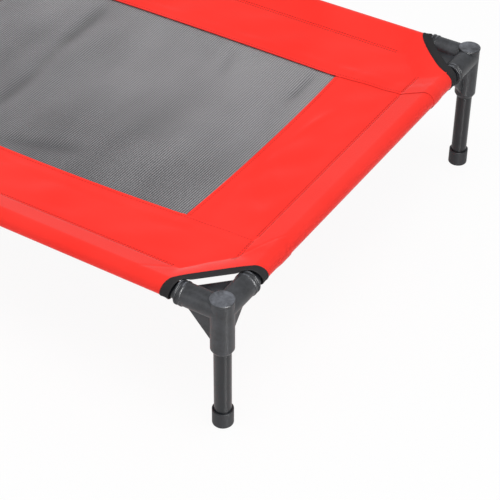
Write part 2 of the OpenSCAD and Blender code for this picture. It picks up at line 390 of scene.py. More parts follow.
@dataclass(frozen=True)
class HardFinish:
    """Moulded plastic, coated steel or rubber: a grained skin with a drift in tone and gloss.

    worn is how much paler the level tops above worn_from are, a painted highlight where they face
    the light from above, and rim rounds the sharp edges, so that they catch the light.
    """

    name: str
    light: Colour
    dark: Colour
    grain_scale: float
    grain_depth: float
    roughness: Span
    specular: float = 0.5
    coat: float = 0.0
    worn: float = 0.0
    worn_from: float = 0.0
    rim: float = 0.0
    drift_scale: float = 70.0
    drift_share: float = 1.4
    grain_share: float = 0.9
    base_share: float = -0.65
    level_from: float = 0.9

    def material(self) -> Material:
        """Builds the material.

        Returns:
            The material.
        """
        surface = Surface(self.name)
        graph, grain = surface.graph, surface.grain(self.grain_scale, self.drift_scale)
        broad = graph.math("MULTIPLY_ADD", grain["Tone"], self.drift_share, self.base_share)
        mottle = graph.math("MULTIPLY_ADD", grain["Height"], self.grain_share, broad)
        # Painted highlight: level tops high on the piece are made paler, as if lit from above.
        if self.worn > 0.0:
            level, high = (
                graph.math("GREATER_THAN", graph.split(surface.where[kind])["Z"], least)
                for kind, least in (("Normal", self.level_from), ("Object", self.worn_from))
            )
            highlight_lift = graph.math("MULTIPLY_ADD", graph.math("MULTIPLY", level, high), self.worn, 1.0)
            mottle = graph.math("MULTIPLY", mottle, highlight_lift)
        rims = None
        if self.rim > 0.0:
            rims = graph.add("ShaderNodeBevel", {"Radius": self.rim}, samples=6).outputs["Normal"]
        return surface.dress(
            Base_Color=graph.mix_colour(mottle, self.dark, self.light, clamp=False),
            Roughness=graph.spread(grain["Tone"], *self.roughness),
            Normal=surface.bump(grain["Height"], strength=0.5, distance=self.grain_depth, below=rims),
            Specular_IOR_Level=self.specular,
            Coat_Weight=self.coat,
            Coat_Roughness=0.3,
        )


RED_CLOTH = WovenCloth(
    "red_border_cloth", (0.98, 0.053, 0.041), (0.92, 0.023, 0.014), 0.6 * MM, 0.06 * MM, (0.66, 0.76), 0.62, 0.05
)
BLACK_TAPE = WovenCloth(
    "black_binding_tape", (0.035, 0.033, 0.035), (0.013, 0.013, 0.014), 0.9 * MM, 0.22 * MM, (0.7, 0.85)
)
# Painted shade: the cut edges of the red strips are a darker red than the cloth.
RED_EDGE_SHADE = WovenCloth("red_cloth_edge", (0.62, 0.020, 0.015), (0.50, 0.016, 0.011), 0.6 * MM, 0.06 * MM)
# Partly painted shade: the pocket thread is darker than the cloth to stand in for the shade in the sewn groove.
RED_THREAD_SHADED = WovenCloth("red_thread", (0.42, 0.014, 0.011), (0.32, 0.011, 0.009), 0.3 * MM, 0.05 * MM)
HEM_THREAD = WovenCloth("red_hem_thread", (0.72, 0.023, 0.017), (0.62, 0.019, 0.013), 0.3 * MM, 0.05 * MM)
BLACK_THREAD = WovenCloth("black_thread", (0.034, 0.035, 0.038), (0.016, 0.016, 0.017), 0.3 * MM, 0.05 * MM)
GREY_MESH = RibbedMesh("grey_mesh_cloth", (0.332, 0.326, 0.337), (0.063, 0.062, 0.067), 3.0 * MM, 1.5 * MM)
PLASTIC = HardFinish(
    "dark_moulded_plastic",
    (0.045, 0.048, 0.056),
    (0.008, 0.009, 0.011),
    300.0,
    0.06 * MM,
    (0.32, 0.46),
    # Painted highlight on the level tops of the posts.
    worn=3.4,
    worn_from=0.1793,
    rim=1.4 * MM,
)
STEEL = HardFinish(
    "black_coated_steel", (0.014, 0.016, 0.020), (0.007, 0.008, 0.011), 600.0, 0.015 * MM, (0.24, 0.34), 0.42, 0.1
)
RUBBER = HardFinish(
    "dark_foot_rubber", (0.021, 0.024, 0.029), (0.012, 0.013, 0.017), 900.0, 0.05 * MM, (0.45, 0.55), 0.45, rim=1.2 * MM
)


def smooth_step(value: Array, low: float, high: float) -> Array:
    """Rises smoothly from 0 at low to 1 at high."""
    share = np.clip((value - low) / (high - low), 0.0, 1.0)
    return share * share * (3.0 - 2.0 * share)


@dataclass(frozen=True)
class Fold:
    """A soft ridge in the cloth along a straight line in plan; a negative height is a valley.

    before and after are the shares of its length over which it fades, outside and inside each end.
    """

    start: Span
    end: Span
    height: float
    width: float
    before: float = 0.2
    after: float = 0.3

    def rise(self, xy: Array) -> Array:
        """Height of the ridge.

        Args:
            xy: Plan coordinates.

        Returns:
            The rise at each point.
        """
        run = np.subtract(self.end, self.start)
        length = math.hypot(*run)
        ax, ay = run / length
        dx, dy = (xy - self.start).T
        along, across = dx * ax + dy * ay, dy * ax - dx * ay
        first = smooth_step(along, -self.before * length, self.after * length)
        last = 1.0 - smooth_step(along, (1.0 - self.after) * length, (1.0 + self.before) * length)
        return self.height * first * last * np.exp(-((across / self.width) ** 2))


STRIP_FOLDS = (
    Fold((0.237, -0.038), (0.309, -0.118), -3.0 * MM, 10 * MM),
    Fold((0.246, -0.005), (0.316, -0.092), 2.6 * MM, 10 * MM),
    Fold((0.250, -0.018), (0.276, 0.094), 1.8 * MM, 6 * MM),
)
MESH_FOLDS = (
    Fold((-0.115, 0.165), (-0.109, 0.055), -3.0 * MM, 11 * MM),
    Fold((-0.110, 0.075), (-0.098, -0.030), -1.3 * MM, 11 * MM),
    Fold((-0.098, -0.015), (-0.094, -0.110), -2.8 * MM, 11 * MM),
    Fold((-0.086, 0.130), (-0.072, -0.080), 2.5 * MM, 18 * MM),
    Fold((-0.040, -0.160), (0.062, -0.122), -2.2 * MM, 12 * MM),
    Fold((0.212, 0.168), (0.2135, 0.096), -2.6 * MM, 7 * MM),
    Fold((0.090, 0.170), (0.110, 0.100), -1.8 * MM, 10 * MM),
)
# Each ripple of the strips: radians per metre along x and y, and its phase.
RIPPLES = ((112.0, 38.0, 0.3), (-45.0, 96.0, 1.9), (83.0, -71.0, 4.2))


@dataclass(frozen=True)
class CornerShape:
    """How the cloth lies at the two corners of one long side.

    reach and inset place the cut along the rails and on the diagonal, skew carries it further along the short
    rail, flap_rise lifts the cloth between the rails, and flare widens it over the mouths of the sleeves.
    crease is the reach of the flap's foot, turn swings that line towards the short rail, and brim is how far the
    flap goes on rising past its shoulder.
    """

    reach: float
    inset: float
    skew: float
    flap_rise: float
    flare: float
    crease: float
    turn: float
    brim: float


def in_mm(*sizes: float) -> Array:
    """Field of sizes along s and t, given in millimetres."""
    return field(default_factory=lambda: np.array(sizes) * MM)


@dataclass
class DeckForm:
    """Shape of the stretched cloth in unrolled coordinates.

    The coordinates s, along the cot, and t, across it, stand in two columns and count from the middle. Up to a
    rail's axis they are plain x and y, and past it they count the cloth's length round the rail and back under
    the deck. Sizes in pairs have the same order, so that the short rails' come first.
    """

    rails: Array
    rail_z: float
    window: Array = in_mm(239.5, 170.5)
    bow: Array = in_mm(3, 6)
    roll_radius: float = 10.9 * MM
    sewn_in: float = 35 * MM
    drop: float = 3.5 * MM
    sag: float = 12 * MM
    sink: float = 3.5 * MM
    groove: float = 0.65 * MM
    groove_width: float = 3.0 * MM
    groove_ends: Array = in_mm(72, 80)
    groove_fade: float = 12 * MM
    flare_span: Span = (49 * MM, 67 * MM)
    crease_depth: float = 0.5 * MM
    crease_width: float = 3 * MM
    shoulder: float = 72 * MM
    flap_bow: float = 0.4
    blend: float = 1.5 * MM
    hem: float = 8 * MM
    hem_gap: float = 1.2 * MM
    lap: float = 15 * MM
    cloth: float = 0.8 * MM
    front: CornerShape = CornerShape(54 * MM, 27.9 * MM, 2.8 * MM, 13.5 * MM, 5.2 * MM, 115 * MM, 0.09, 1.5)
    back: CornerShape = CornerShape(55.3 * MM, 29.6 * MM, 1 * MM, 15.5 * MM, 3 * MM, 110 * MM, 0.0, 1.0)
    cut_ease: float = 0.2
    cut_bend: float = 8 * MM
    cut_step: float = 0.1 * MM
    cut_samples: int = 2000
    normal_step: float = 0.2 * MM
    ripple: float = 0.45 * MM
    ripple_span: Span = (3 * MM, 22 * MM)
    calm_span: Span = (0.62, 0.84)
    folds: Sequence[Fold] = ()

    @classmethod
    def from_frame(cls, **sizes: object) -> "DeckForm":
        """Takes the rails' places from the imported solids.

        Args:
            sizes: Other sizes that differ from the usual ones.

        Returns:
            The deck's form.
        """
        low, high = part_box("short_rail_right")
        low_y, high_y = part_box("long_rail_back")
        return cls(np.array((low[0] + high[0], low_y[1] + high_y[1])) / 2, (low[2] + high[2]) / 2, **sizes)

    @property
    def sewn(self) -> Array:
        """Distances of the sewn lines from the middle."""
        return self.rails - self.sewn_in

    @property
    def roll_end(self) -> float:
        """Angle round the rail, from its top, at which the cloth leaves it underneath."""
        reach = math.hypot(self.sewn_in, self.drop)
        return 1.5 * math.pi - math.atan2(self.drop, self.sewn_in) - math.acos(self.roll_radius / reach)

    @property
    def under_length(self) -> float:
        """Length of the lower layer between the rail and the sewn line."""
        return math.sqrt(self.sewn_in**2 + self.drop**2 - self.roll_radius**2)

    @property
    def wrap_length(self) -> float:
        """Length of cloth from a rail's top round to the end of the hem."""
        return self.roll_radius * self.roll_end + self.under_length + self.hem

    def _corner(self, name: str, y: Array) -> Array:
        """One size of the nearest corner's shape."""
        return np.where(y < 0, getattr(self.front, name), getattr(self.back, name))

    def _radius(self, inside: Array, y: Array) -> Array:
        """Radius of the cloth round both rails, which flares over the mouths of the corner's sleeves."""
        bare = smooth_step(inside[:, ::-1], *self.flare_span)
        return self.roll_radius + self._corner("flare", y)[:, None] * (1.0 - bare)

    def _climb(self, inside: Array, y: Array) -> Array:
        """Rise of the upper layer above the deck on its way up to each rail's top.

        Args:
            inside: Distances in from the rails' axes.
            y: Coordinate across the cot.

        Returns:
            The rise towards each rail.
        """
        radius = self._radius(inside, y)
        angle = np.arccos(radius / math.hypot(self.sewn_in, self.drop)) - math.atan2(self.drop, self.sewn_in)
        touch, top = radius * np.cos(angle), radius * np.sin(angle) + self.drop
        slope = top * (self.sewn_in - inside) / (self.sewn_in - touch)
        crown = np.sqrt(np.maximum(radius**2 - inside**2, 0.0)) + self.drop
        return np.where(inside < touch, crown, np.maximum(slope, 0.0))

    def _higher(self, first: Array, second: Array) -> Array:
        """The higher of two surfaces, rounded where they meet.

        Args:
            first: Heights of one surface.
            second: Heights of the other.

        Returns:
            The height at each point.
        """
        near = np.maximum(self.blend - np.abs(first - second), 0.0)
        raised = np.clip(np.minimum(first, second) / self.blend, 0.0, 1.0)
        return np.maximum(first, second) + raised * near * near / (4.0 * self.blend)

    def _grooves(self, inside: Array) -> Array:
        """Depth of the grooves that the pockets' stitches draw into the cloth."""
        fade = smooth_step(inside[:, ::-1] - self.groove_ends, 0.0, self.groove_fade)
        return self.groove * (fade * np.exp(-(((inside - self.sewn_in) / self.groove_width) ** 2))).max(axis=1)

    def top(self, xy: Array) -> Array:
        """Height of the upper layer.

        Args:
            xy: Plan coordinates inside the rails' axes.

        Returns:
            The height above the floor at each point.
        """
        inside, (x, y) = self.rails - np.abs(xy), xy.T
        u, v = inside.T
        crease = self._corner("crease", y) + self._corner("turn", y) * (v - u)
        share = np.clip((crease - u - v) / (crease - self.shoulder), 0.0, self._corner("brim", y))
        flap = self._corner("flap_rise", y) * share * (1.0 + self.flap_bow - self.flap_bow * share)
        lift = self._higher(self._higher(*self._climb(inside, y).T), flap)
        dish = np.maximum(0.0, 1.0 - (xy / self.sewn) ** 2).prod(axis=1)
        near = np.clip((inside - self.sewn_in) / (self.sewn - self.window), 0.0, 1.0)
        sunk = self.sink * near.prod(axis=1) ** 3
        sunk = sunk + self.crease_depth * np.exp(-(((u + v - crease - self.crease_width) / self.crease_width) ** 2))
        waves = sum(np.sin(along_x * x + along_y * y + start) for along_x, along_y, start in RIPPLES)
        waves = waves * self.ripple * smooth_step(np.minimum(u, v) - self.sewn_in, *self.ripple_span)
        ridges = sum((fold.rise(xy) for fold in self.folds), waves)
        ridges = ridges * (1.0 - smooth_step(near.min(axis=1), *self.calm_span))
        return self.rail_z - self.drop + lift - self.sag * dish - sunk - self._grooves(inside) + ridges

    def _roll(self, past: Array, y: Array) -> tuple[Array, Array]:
        """Path of the cloth round the rails.

        Args:
            past: Lengths of cloth past the rails' axes; negative is inside them.
            y: Coordinate across the cot.

        Returns:
            The distances out from the axes, and the heights above them where past is positive.
        """
        radius, end, under = self._radius(-past, y), self.roll_end, self.under_length
        turned = self.roll_radius * end
        angle = np.clip(past / self.roll_radius, 0.0, end)
        back = np.clip(past - turned, 0.0, under)
        tail = np.maximum(past - turned - under, 0.0)
        out = radius * np.sin(angle) + back * math.cos(end) - tail
        return np.where(past > 0, out, past), radius * np.cos(angle) - back * math.sin(end)

    def point(self, st: Array) -> Array:
        """Places the middle of the cloth.

        Args:
            st: Unrolled coordinates.

        Returns:
            Points, with x, y and z in three columns.
        """
        past = np.abs(st) - self.rails
        out, rise = self._roll(past, st[:, 1])
        xy = np.sign(st) * (self.rails + out)
        top, rolled = self.top(xy), past > 0
        z = np.where(rolled.any(axis=1), self.rail_z + np.where(rolled[:, 0], *rise.T), top)
        tail = np.minimum(top - self.hem_gap, self.rail_z - self.drop)
        return np.column_stack([xy, np.where((past > self.wrap_length - self.hem).any(axis=1), tail, z)])

    def normal(self, st: Array) -> Array:
        """Outward normal of the cloth.

        Args:
            st: Unrolled coordinates.

        Returns:
            Unit vectors.
        """
        steps = self.normal_step * np.eye(2)
        normal = np.cross(*(self.point(st + step) - self.point(st - step) for step in steps))
        return normal / np.maximum(np.linalg.norm(normal, axis=1, keepdims=True), TINY)

    def from_cut(self, st: Array) -> tuple[Array, Array]:
        """Distance from the curved cut at the nearest corner.

        Args:
            st: Unrolled coordinates.

        Returns:
            The distance in one column, negative inside the cut, and the way out of it along s and t.
        """
        t = st[:, 1:]
        circle = np.where(t < 0, self._cut_circle(self.front), self._cut_circle(self.back))
        centre, radius = circle[:, :1], circle[:, 1:]
        past = np.abs(st) - self.rails + self._corner("skew", t) * (0.0, 1.0)
        far = self._eased(past) - centre
        reach = np.maximum(np.linalg.norm(far, axis=1, keepdims=True), TINY)
        easing = (self._eased(past + self.cut_step) - self._eased(past - self.cut_step)) / (2 * self.cut_step)
        fall = far / reach * easing
        steep = np.linalg.norm(fall, axis=1, keepdims=True) * np.sign(radius)
        return (reach - np.abs(radius)) / steep, np.sign(st) * fall / steep

    def _eased(self, past: Array) -> Array:
        """Shortens the cloth past a rail's axis, so that the cut turns to run round the rail."""
        return self.cut_ease * past + 0.5 * (1.0 - self.cut_ease) * (past - np.hypot(past, self.cut_bend))

    def _cut_circle(self, shape: CornerShape) -> Span:
        """Circle of the cut in the eased coordinates.

        Args:
            shape: The corner's shape.

        Returns:
            Its centre, the same along both rails, and its radius, negative where the cut bows towards the post.
        """
        at_rail, reach, inset = self._eased(np.array((0.0, -shape.reach, -shape.inset)))
        centre = (reach**2 + at_rail**2 - 2 * inset**2) / (2 * (reach + at_rail) - 4 * inset)
        return centre, math.sqrt(2) * (centre - inset)

    def cut_line(self, step: float, shape: CornerShape) -> Array:
        """The cut's line at one corner, from the end of the long rail's wrap to that of the short rail's.

        Args:
            step: Distance between its points.
            shape: The corner's shape.

        Returns:
            Unrolled distances past the two rails' axes.
        """
        centre, radius = self._cut_circle(shape)
        table = np.linspace(-4 * shape.reach, 1.01 * self.wrap_length, 2 * self.cut_samples + 1)
        end = math.acos((centre - self._eased(np.float64(self.wrap_length))) / radius)
        angle = np.linspace(end - math.pi, -0.5 * math.pi - end, self.cut_samples + 1)
        way = np.column_stack([np.cos(angle), np.sin(angle)])
        past = np.interp(centre + radius * way, self._eased(table), table)
        run = np.concatenate([[0.0], np.cumsum(np.hypot(*np.diff(past, axis=0).T))])
        even = np.linspace(0.0, run[-1], round(run[-1] / step) + 1)
        return np.column_stack([np.interp(even, run, side) for side in past.T]) - (0.0, shape.skew)


def scene_object(name: str, data: bpy.types.ID) -> Object:
    """Puts a new object into the scene.

    Args:
        name: Name of the object.
        data: Its mesh, lamp or camera.

    Returns:
        The new object.
    """
    thing = bpy.data.objects.new(name, data)
    bpy.context.scene.collection.objects.link(thing)
    return thing


def grid_quads(rows: int, columns: int) -> Array:
    """Corners of the faces of a grid whose points are numbered row by row."""
    index = np.arange(rows * columns).reshape(rows, columns)
    return np.stack([index[:-1, :-1], index[1:, :-1], index[1:, 1:], index[:-1, 1:]], axis=-1).reshape(-1, 4)


def mesh_object(
    name: str, points: Array, faces: Iterable[Sequence[int]], uv: Array | None = None
) -> Object:
    """Makes a smooth mesh object at the origin, with sharp rims.

    Args:
        name: Name of the piece.
        points: One point per row.
        faces: Corners of each face.
        uv: UV coordinates of each point, in metres.

    Returns:
        The new object, linked into the scene.
    """
    mesh = bpy.data.meshes.new(name)
    mesh.from_pydata(points.tolist(), [], [list(map(int, face)) for face in faces])
    mesh.shade_smooth()
    if uv is not None:
        layer = mesh.uv_layers.new(name="UVMap")
        corner = np.empty(len(mesh.loops), dtype=np.int32)
        mesh.loops.foreach_get("vertex_index", corner)
        layer.data.foreach_set("uv", uv[corner].astype(np.float32).ravel())
    mesh.validate()
    edge = np.empty(len(mesh.loops), dtype=np.int32)
    mesh.loops.foreach_get("edge_index", edge)
    rim = np.bincount(edge, minlength=len(mesh.edges)) == 1
    mesh.attributes.new("sharp_edge", "BOOLEAN", "EDGE").data.foreach_set("value", rim)
    return scene_object(name, mesh)


def thicken(piece: Object, thickness: float, offset: float = 0.0, edge: int = 0) -> None:
    """Gives a sheet its thickness.

    Args:
        piece: The sheet.
        thickness: Thickness of the cloth.
        offset: Which side it grows to: -1 inwards, 0 both, 1 outwards.
        edge: How many slots after the sheet's material its cut edges take theirs.
    """
    wall = piece.modifiers.new("cloth_thickness", "SOLIDIFY")
    wall.thickness = thickness
    wall.offset = offset
    wall.material_offset_rim = edge


def grown_mesh(carrier: Object, tree: Tree, values: dict[str, object]) -> Object:
    """Runs a geometry tree on a carrier and keeps the result as a plain mesh.

    Args:
        carrier: Object that the tree starts from.
        tree: Geometry tree.
        values: Value of each named input.

    Returns:
        The same object with the finished mesh and no modifier.
    """
    modifier = carrier.modifiers.new("grow", "NODES")
    modifier.node_group = tree
    keys = {item.name: item.identifier for item in tree.interface.items_tree if item.in_out == "INPUT"}
    for name, value in values.items():
        modifier[keys[name]] = value
    depsgraph = bpy.context.evaluated_depsgraph_get()
    grown = bpy.data.meshes.new_from_object(
        carrier.evaluated_get(depsgraph), preserve_all_data_layers=True, depsgraph=depsgraph
    )
    carrier.modifiers.remove(modifier)
    carrier.data = grown
    return carrier


def stitch_tree() -> Tree:
    """Rows of sewing stitches that follow the carrier's edges.

    Returns:
        Geometry tree with the inputs Spacing, Stitch Length, Thread Radius and Thread.
    """
    sizes = dict.fromkeys(("Spacing", "Stitch Length", "Thread Radius"), "Float")
    graph, given = new_group(
        "stitch_rows", "GeometryNodeTree", {"Path": "Geometry", **sizes, "Thread": "Material"}, {"Stitches": "Geometry"}
    )
    curve = graph.add("GeometryNodeMeshToCurve", {"Mesh": given["Path"]}).outputs["Curve"]
    spaced = graph.add("GeometryNodeResampleCurve", {"Curve": curve, "Length": given["Spacing"]}, mode="LENGTH")
    bead = graph.add("GeometryNodeMeshUVSphere", {"Segments": 6, "Rings": 5, "Radius": 0.5}).outputs["Mesh"]
    across = graph.math("MULTIPLY", given["Thread Radius"], 2.0)
    size = graph.add("ShaderNodeCombineXYZ", {"X": given["Stitch Length"], "Y": across, "Z": across}).outputs[0]
    along = graph.add("GeometryNodeInputTangent").outputs[0]
    ahead = graph.add("FunctionNodeAlignRotationToVector", {"Vector": along}, axis="X").outputs["Rotation"]
    facing = graph.add("GeometryNodeInputNamedAttribute", {"Name": "facing"}, data_type="FLOAT_VECTOR")
    upright = graph.add(
        "FunctionNodeAlignRotationToVector",
        {"Rotation": ahead, "Vector": facing.outputs["Attribute"]},
        axis="Z",
        pivot_axis="X",
    )
    sewn = graph.add(
        "GeometryNodeInstanceOnPoints",
        {
            "Points": spaced.outputs["Curve"],
            "Instance": graph.add("GeometryNodeTransform", {"Geometry": bead, "Scale": size}).outputs["Geometry"],
            "Rotation": upright.outputs["Rotation"],
        },
    )
    graph.add("NodeGroupOutput", {"Stitches": graph.dressed(sewn.outputs["Instances"], given["Thread"])})
    return graph.tree


def mesh_panel_tree() -> Tree:
    """Ribbed mesh sheet that dishes between the sewn lines, with broad waves that calm towards its edges.

    Returns:
        Geometry tree with named inputs for the sheet's sizes.
    """
    sizes = ("Length", "Width", "Height", "Sag", "Sag Reach X", "Sag Reach Y", "Rib Pitch", "Rib Height", "Wave Height")
    graph, given = new_group(
        "ribbed_sheet",
        "GeometryNodeTree",
        {"Carrier": "Geometry", **dict.fromkeys(sizes, "Float"), "Columns": "Int", "Rows": "Int", "Cloth": "Material"},
        {"Sheet": "Geometry"},
    )
    sides = {"Size X": "Length", "Size Y": "Width", "Vertices X": "Columns", "Vertices Y": "Rows"}
    grid = graph.add("GeometryNodeMeshGrid", {side: given[name] for side, name in sides.items()})
    place = graph.add("GeometryNodeInputPosition").outputs[0]
    spot = graph.split(place)
    noise = graph.math("SUBTRACT", graph.bands(place, repeats=(11.0, 3.0, 1.0)), 0.5)
    dish, wave = given["Sag"], graph.math("MULTIPLY", noise, given["Wave Height"])
    for axis, reach, size in ((0, "Sag Reach X", "Length"), (1, "Sag Reach Y", "Width")):
        share = graph.math("DIVIDE", spot[axis], given[reach])
        fall = graph.math("SUBTRACT", 1.0, graph.math("MULTIPLY", share, share))
        dish = graph.math("MULTIPLY", dish, graph.math("MAXIMUM", fall, 0.0))
        half = graph.math("MULTIPLY", given[size], 0.5)
        inside = graph.math("SUBTRACT", half, graph.math("ABSOLUTE", spot[axis]))
        edge = {"Value": inside, "From Min": 20 * MM, "From Max": 70 * MM}
        calm = graph.add("ShaderNodeMapRange", edge, interpolation_type="SMOOTHSTEP").outputs["Result"]
        wave = graph.math("MULTIPLY", wave, calm)
    turn = graph.math("DIVIDE", graph.math("MULTIPLY", spot[0], 2.0 * math.pi), given["Rib Pitch"])
    rib = graph.math("MULTIPLY", graph.math("COSINE", turn), given["Rib Height"])
    level = graph.math("SUBTRACT", given["Height"], dish)
    lifted = graph.math("ADD", graph.math("ADD", level, rib), wave)
    raised = graph.add("ShaderNodeCombineXYZ", {"X": spot[0], "Y": spot[1], "Z": lifted}).outputs[0]
    flat = graph.add(
        "GeometryNodeStoreNamedAttribute",
        {"Geometry": grid.outputs["Mesh"], "Name": "UVMap", "Value": place},
        data_type="FLOAT2",
        domain="CORNER",
    ).outputs["Geometry"]
    formed = graph.add("GeometryNodeSetPosition", {"Geometry": flat, "Position": raised}).outputs["Geometry"]
    graph.add("NodeGroupOutput", {"Sheet": graph.dressed(formed, given["Cloth"])})
    return graph.tree


@dataclass
class Row:
    """One row of stitches in unrolled coordinates, raised off the middle of the cloth."""

    st: Array
    lift: Array


@dataclass
class Sewing:
    """Makes the stitches of any piece of cloth."""

    form: DeckForm
    spacing: float = 4.0 * MM
    stitch_length: float = 3.3 * MM
    thread_radius: float = 0.4 * MM
    tree: Tree = field(default_factory=stitch_tree)

    def build(self, name: str, rows: Sequence[Row], thread: Material, slot: str) -> Object:
        """Sews rows of stitches.

        Args:
            name: Name of the piece.
            rows: The rows, each as a line of points.
            thread: Material of the thread.
            slot: Not used.

        Returns:
            The stitches as one mesh.
        """
        points, normals, edges = [], [], []
        for row in rows:
            normal = self.form.normal(row.st)
            first = len(points)
            points.extend((self.form.point(row.st) + normal * row.lift[:, None]).tolist())
            normals.extend(normal.tolist())
            edges.extend((k, k + 1) for k in range(first, len(points) - 1))
        mesh = bpy.data.meshes.new(name)
        mesh.from_pydata(points, edges, [])
        facing = mesh.attributes.new("facing", "FLOAT_VECTOR", "POINT")
        facing.data.foreach_set("vector", np.array(normals, dtype=np.float32).ravel())
        values = {
            "Spacing": self.spacing,
            "Stitch Length": self.stitch_length,
            "Thread Radius": self.thread_radius,
            "Thread": thread,
        }
        piece = grown_mesh(scene_object(name, mesh), self.tree, values)
        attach(piece, "root")
        LOG.info("%s: %d faces", piece.name, len(piece.data.polygons))
        return piece


@dataclass
class BorderStrip:
    """One red border strip, with its rail pocket, its cut corners and its sewing."""

    side: Side
    form: DeckForm
    sewing: Sewing
    cloth: Material
    edge: Material
    thread: Material
    hem_thread: Material
    cell: float = 3.0 * MM
    roll_cell: float = 1.6 * MM
    margin: float = 0.4 * MM
    row_cell: float = 2 * MM
    row_gap: float = 3.6 * MM
    row_outset: float = 2 * MM
    hem_inset: float = 4 * MM
    row_end: float = 87 * MM
    short_row_end: float = 76 * MM
    row_break: float = 7 * MM
    over: float = 0.85 * MM
    edge_lift: float = 1.3 * MM
    edge_fade: float = 2.5 * MM
    short_fade: Span = (6 * MM, 22 * MM)
    long_fade: Span = (8 * MM, 24 * MM)
    lap_fade: float = 14 * MM
    bow_span: float = 60 * MM

    @property
    def name(self) -> str:
        """Name of the strip's solid."""
        return self.side.solid("border")

    def _steps(self, knots: Sequence[float], sewn: float) -> Array:
        """Points along one direction through every knot, about one cell apart, and closer past the sewn line.

        Args:
            knots: Rising coordinates that have to be kept.
            sewn: Distance of the sewn line from the middle.

        Returns:
            The coordinates of the points.
        """
        parts = []
        for a, b in zip(knots, knots[1:]):
            cell = self.roll_cell if max(abs(a), abs(b)) > sewn + TINY else self.cell
            parts.append(np.linspace(a, b, max(2, round((b - a) / cell) + 1))[:-1])
        return np.concatenate([*parts, [knots[-1]]])

    def _axes(self) -> list[Array]:
        """Grid lines of the strip.

        Returns:
            The lines along s and along t, both rising.
        """
        form, (axis, sign) = self.form, self.side.value
        rolls = [(sewn, rail, rail + form.wrap_length) for sewn, rail in zip(form.sewn, form.rails)]
        half = rolls[0] if self.side.is_long else [form.window[1] + form.lap]
        along = self._steps([*(-k for k in reversed(half)), *half], form.sewn[1 - axis])
        across = self._steps([form.window[axis], *rolls[axis]], form.sewn[axis])
        return [along, across[::sign] * sign][:: 1 if self.side.is_long else -1]

    def lift(self, st: Array) -> Array:
        """How far the strip's middle stands off the deck where it laps over another cloth.

        Args:
            st: Unrolled coordinates.

        Returns:
            The stand-off at each point.
        """
        past = np.abs(st) - self.form.window
        across, along = past[:, self.side.value[0]], past[:, 1 - self.side.value[0]]
        edge = self.edge_lift * np.exp(-across / self.edge_fade) * (along < 0)
        if not self.side.is_long:
            return edge + self.over * (1.0 - smooth_step(across, *self.short_fade))
        ends = smooth_step(along, -self.long_fade[0], 0.0) * (1.0 - smooth_step(along, *self.long_fade))
        lapped = 1.0 - smooth_step(across - self.form.lap, 0.0, self.lap_fade)
        return edge + self.over * lapped * (1.0 + ends)

    def bowed(self, st: Array) -> Array:
        """Bows the strip's inner edge out from the middle of the window.

        Args:
            st: Unrolled coordinates.

        Returns:
            The moved coordinates.
        """
        form, axis = self.form, self.side.value[0]
        middle = np.maximum(0.0, 1.0 - (st[:, 1 - axis] / form.window[1 - axis]) ** 2)
        near = 1.0 - smooth_step(np.abs(st[:, axis]) - form.window[axis], 0.0, self.bow_span)
        moved = st.copy()
        moved[:, axis] += np.sign(st[:, axis]) * form.bow[axis] * (middle * near)
        return moved

    def _cut_grid(self) -> tuple[Array, Array]:
        """The strip's grid with its corners cut away.

        Returns:
            Unrolled coordinates of the points, and the corners of each face.
        """
        axes = self._axes()
        st = np.stack(np.meshgrid(*axes, indexing="ij"), axis=-1).reshape(-1, 2)
        quads = grid_quads(*map(len, axes))
        clear, way = self.form.from_cut(st)
        double = (np.abs(st) > self.form.rails).all(axis=1)
        quads = quads[(clear[quads, 0] > self.margin).any(axis=1) & ~double[quads].any(axis=1)]
        kept, quads = np.unique(quads, return_inverse=True)
        return (st - way * np.minimum(clear - self.margin, 0.0))[kept], quads.reshape(-1, 4)

    def build(self) -> None:
        flat, quads = self._cut_grid()
        stand = self.lift(flat)
        flat = self.bowed(flat)
        points = self.form.point(flat) + self.form.normal(flat) * stand[:, None]
        piece = mesh_object(self.name + "_cloth", points, quads, flat)
        piece.data.materials.append(self.cloth)
        # The cut edges take the second slot's darker red, painted shade along the edges.
        piece.data.materials.append(self.edge)
        thicken(piece, self.form.cloth, edge=1)
        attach(piece, "root")
        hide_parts(self.name)
        sewn = [
            self.sewing.build(self.name + "_thread", self.pocket_rows(), self.thread, "border_cloth"),
            self.sewing.build(self.name + "_hem_thread", [self.hem_row()], self.hem_thread, "border_cloth"),
        ]
        self.side.solid("rail")
        LOG.info("%s: %d faces", piece.name, len(quads))

    def _row(self, axis: int, place: float, start: float, end: float) -> Row:
        """One straight row of stitches.

        Args:
            axis: Which coordinate stays the same along the row.
            place: That coordinate.
            start: The other coordinate where the row starts.
            end: The other coordinate where it ends.

        Returns:
            The row.
        """
        st = np.full((max(2, round(abs(end - start) / self.row_cell)), 2), place)
        st[:, 1 - axis] = np.linspace(start, end, len(st))
        return Row(self.bowed(st), self.lift(st) + 0.5 * self.form.cloth)

    def hem_row(self) -> Row:
        """Sews the mesh under the strip's hem.

        Returns:
            The row of stitches.
        """
        form, (axis, sign) = self.form, self.side.value
        far = form.sewn[0] - self.row_gap if self.side.is_long else form.window[1]
        return self._row(axis, sign * (form.window[axis] + self.hem_inset), -far, far)

    def pocket_rows(self) -> list[Row]:
        """Closes the strip's pocket and, on a long strip, the pockets of its two ends.

        Returns:
            The rows of stitches.
        """
        form, (axis, sign), rows = self.form, self.side.value, []
        far = form.rails[0] - self.row_end if self.side.is_long else form.window[1] - self.row_break
        ends = sign * (form.window[1] + self.row_break), sign * (form.rails[1] - self.short_row_end)
        for outset in (self.row_outset, self.row_outset - self.row_gap):
            rows.append(self._row(axis, sign * (form.sewn[axis] + outset), -far, far))
            if self.side.is_long:
                rows.extend(self._row(0, end * (form.sewn[0] + outset), *ends) for end in (-1, 1))
        return rows


